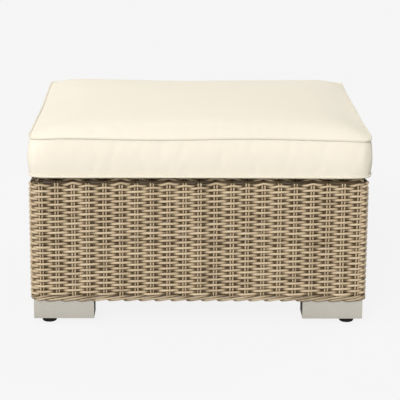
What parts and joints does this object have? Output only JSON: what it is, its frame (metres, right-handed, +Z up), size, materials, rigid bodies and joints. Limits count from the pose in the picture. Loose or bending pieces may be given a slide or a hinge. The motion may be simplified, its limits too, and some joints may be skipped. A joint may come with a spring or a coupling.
{
  "type": "outdoor ottoman footstool",
  "caption": "Square outdoor ottoman: loose piped box cushion on a woven resin base over an aluminium tube frame, standing on low L-shaped corner legs with levelling glides.",
  "frame": {"origin": "on the floor, below the centre of the ottoman", "axes": "+Z up; +X to the right and -Y towards the viewer, so the cushion's zip is on the +Y side"},
  "size_m": [0.7078, 0.7131, 0.418],
  "materials": {
    "frame_tube": "mill-finish square tube, welded",
    "woven_resin": "light tan round resin strand, streaked, satin",
    "leg_paint": "warm grey powder coat, satin",
    "black_plastic": "moulded black plastic, matte",
    "zinc_steel": "zinc plated",
    "canvas": "cream solution-dyed canvas, plain weave",
    "piping_cord": "cream canvas over a welt cord",
    "foam": "open-cell outdoor foam with a polyester wrap",
    "zip_plastic": "moulded coil zip"
  },
  "bodies": {
    "base": {"bottom_rail_front": "frame_tube", "bottom_rail_back": "frame_tube", "bottom_rail_left": "frame_tube", "bottom_rail_right": "frame_tube", "top_rail_front": "frame_tube", "top_rail_back": "frame_tube", "top_rail_left": "frame_tube", "top_rail_right": "frame_tube", "corner_post_front_left": "frame_tube", "corner_post_front_right": "frame_tube", "corner_post_back_right": "frame_tube", "corner_post_back_left": "frame_tube", "deck_slat_1": "frame_tube", "deck_slat_2": "frame_tube", "deck_slat_3": "frame_tube", "woven_side_front": "woven_resin", "woven_side_back": "woven_resin", "woven_side_left": "woven_resin", "woven_side_right": "woven_resin", "woven_border_front": "woven_resin", "woven_border_back": "woven_resin", "woven_border_left": "woven_resin", "woven_border_right": "woven_resin", "woven_deck": "woven_resin", "leg_front_left": "leg_paint", "leg_front_right": "leg_paint", "leg_back_right": "leg_paint", "leg_back_left": "leg_paint", "leg_plug_a_front_left": "black_plastic", "leg_plug_a_front_right": "black_plastic", "leg_plug_a_back_right": "black_plastic", "leg_plug_a_back_left": "black_plastic", "leg_plug_b_front_left": "black_plastic", "leg_plug_b_front_right": "black_plastic", "leg_plug_b_back_right": "black_plastic", "leg_plug_b_back_left": "black_plastic", "leg_bolt_front_left": "zinc_steel", "leg_bolt_front_right": "zinc_steel", "leg_bolt_back_right": "zinc_steel", "leg_bolt_back_left": "zinc_steel"},
    "cushion": {"foam_core": "foam", "cover_top_panel": "canvas", "cover_bottom_panel": "canvas", "cover_side_band": "canvas", "cover_zip_strip_lower": "canvas", "cover_zip_strip_upper": "canvas", "piping_bottom": "piping_cord", "piping_top": "piping_cord", "zip_chain": "zip_plastic"},
    "zip_slider": {"zip_slider": "zinc_steel"},
    "zip_pull": {"zip_pull": "zinc_steel"},
    "stud_front_left": {"glide_stud_front_left": "zinc_steel"},
    "stud_front_right": {"glide_stud_front_right": "zinc_steel"},
    "stud_back_right": {"glide_stud_back_right": "zinc_steel"},
    "stud_back_left": {"glide_stud_back_left": "zinc_steel"},
    "glide_front_left": {"glide_pad_front_left": "black_plastic"},
    "glide_front_right": {"glide_pad_front_right": "black_plastic"},
    "glide_back_right": {"glide_pad_back_right": "black_plastic"},
    "glide_back_left": {"glide_pad_back_left": "black_plastic"}
  },
  "joints": [
    {"name": "cushion_lift", "type": "slide", "parent": "base", "child": "cushion", "axis": [0, 0, 1], "range_m": [0, 0.15]},
    {"name": "zip_slide", "type": "slide", "parent": "cushion", "child": "zip_slider", "axis": [-1, 0, 0], "range_m": [0, 0.55]},
    {"name": "zip_pull_swing", "type": "hinge", "parent": "zip_slider", "child": "zip_pull", "pos_m": [0.276, 0.3571, 0.3578], "axis": [0, 0, -1], "range_deg": [0, 170]},
    {"name": "glide_slide_front_left", "type": "slide", "parent": "base", "child": "stud_front_left", "axis": [0, 0, -1], "range_m": [0, 0.012]},
    {"name": "glide_slide_front_right", "type": "slide", "parent": "base", "child": "stud_front_right", "axis": [0, 0, -1], "range_m": [0, 0.012]},
    {"name": "glide_slide_back_right", "type": "slide", "parent": "base", "child": "stud_back_right", "axis": [0, 0, -1], "range_m": [0, 0.012]},
    {"name": "glide_slide_back_left", "type": "slide", "parent": "base", "child": "stud_back_left", "axis": [0, 0, -1], "range_m": [0, 0.012]},
    {"name": "glide_turn_front_left", "type": "hinge", "parent": "stud_front_left", "child": "glide_front_left", "pos_m": [-0.312, -0.312, 0], "axis": [0, 0, -1], "range_deg": [0, 3456]},
    {"name": "glide_turn_front_right", "type": "hinge", "parent": "stud_front_right", "child": "glide_front_right", "pos_m": [0.312, -0.312, 0], "axis": [0, 0, -1], "range_deg": [0, 3456]},
    {"name": "glide_turn_back_right", "type": "hinge", "parent": "stud_back_right", "child": "glide_back_right", "pos_m": [0.312, 0.312, 0], "axis": [0, 0, -1], "range_deg": [0, 3456]},
    {"name": "glide_turn_back_left", "type": "hinge", "parent": "stud_back_left", "child": "glide_back_left", "pos_m": [-0.312, 0.312, 0], "axis": [0, 0, -1], "range_deg": [0, 3456]}
  ],
  "couplings": [
    {"joint": "glide_slide_front_left", "follows": "glide_turn_front_left", "m_per_rad": 0.00019894},
    {"joint": "glide_slide_front_right", "follows": "glide_turn_front_right", "m_per_rad": 0.00019894},
    {"joint": "glide_slide_back_right", "follows": "glide_turn_back_right", "m_per_rad": 0.00019894},
    {"joint": "glide_slide_back_left", "follows": "glide_turn_back_left", "m_per_rad": 0.00019894}
  ]
}
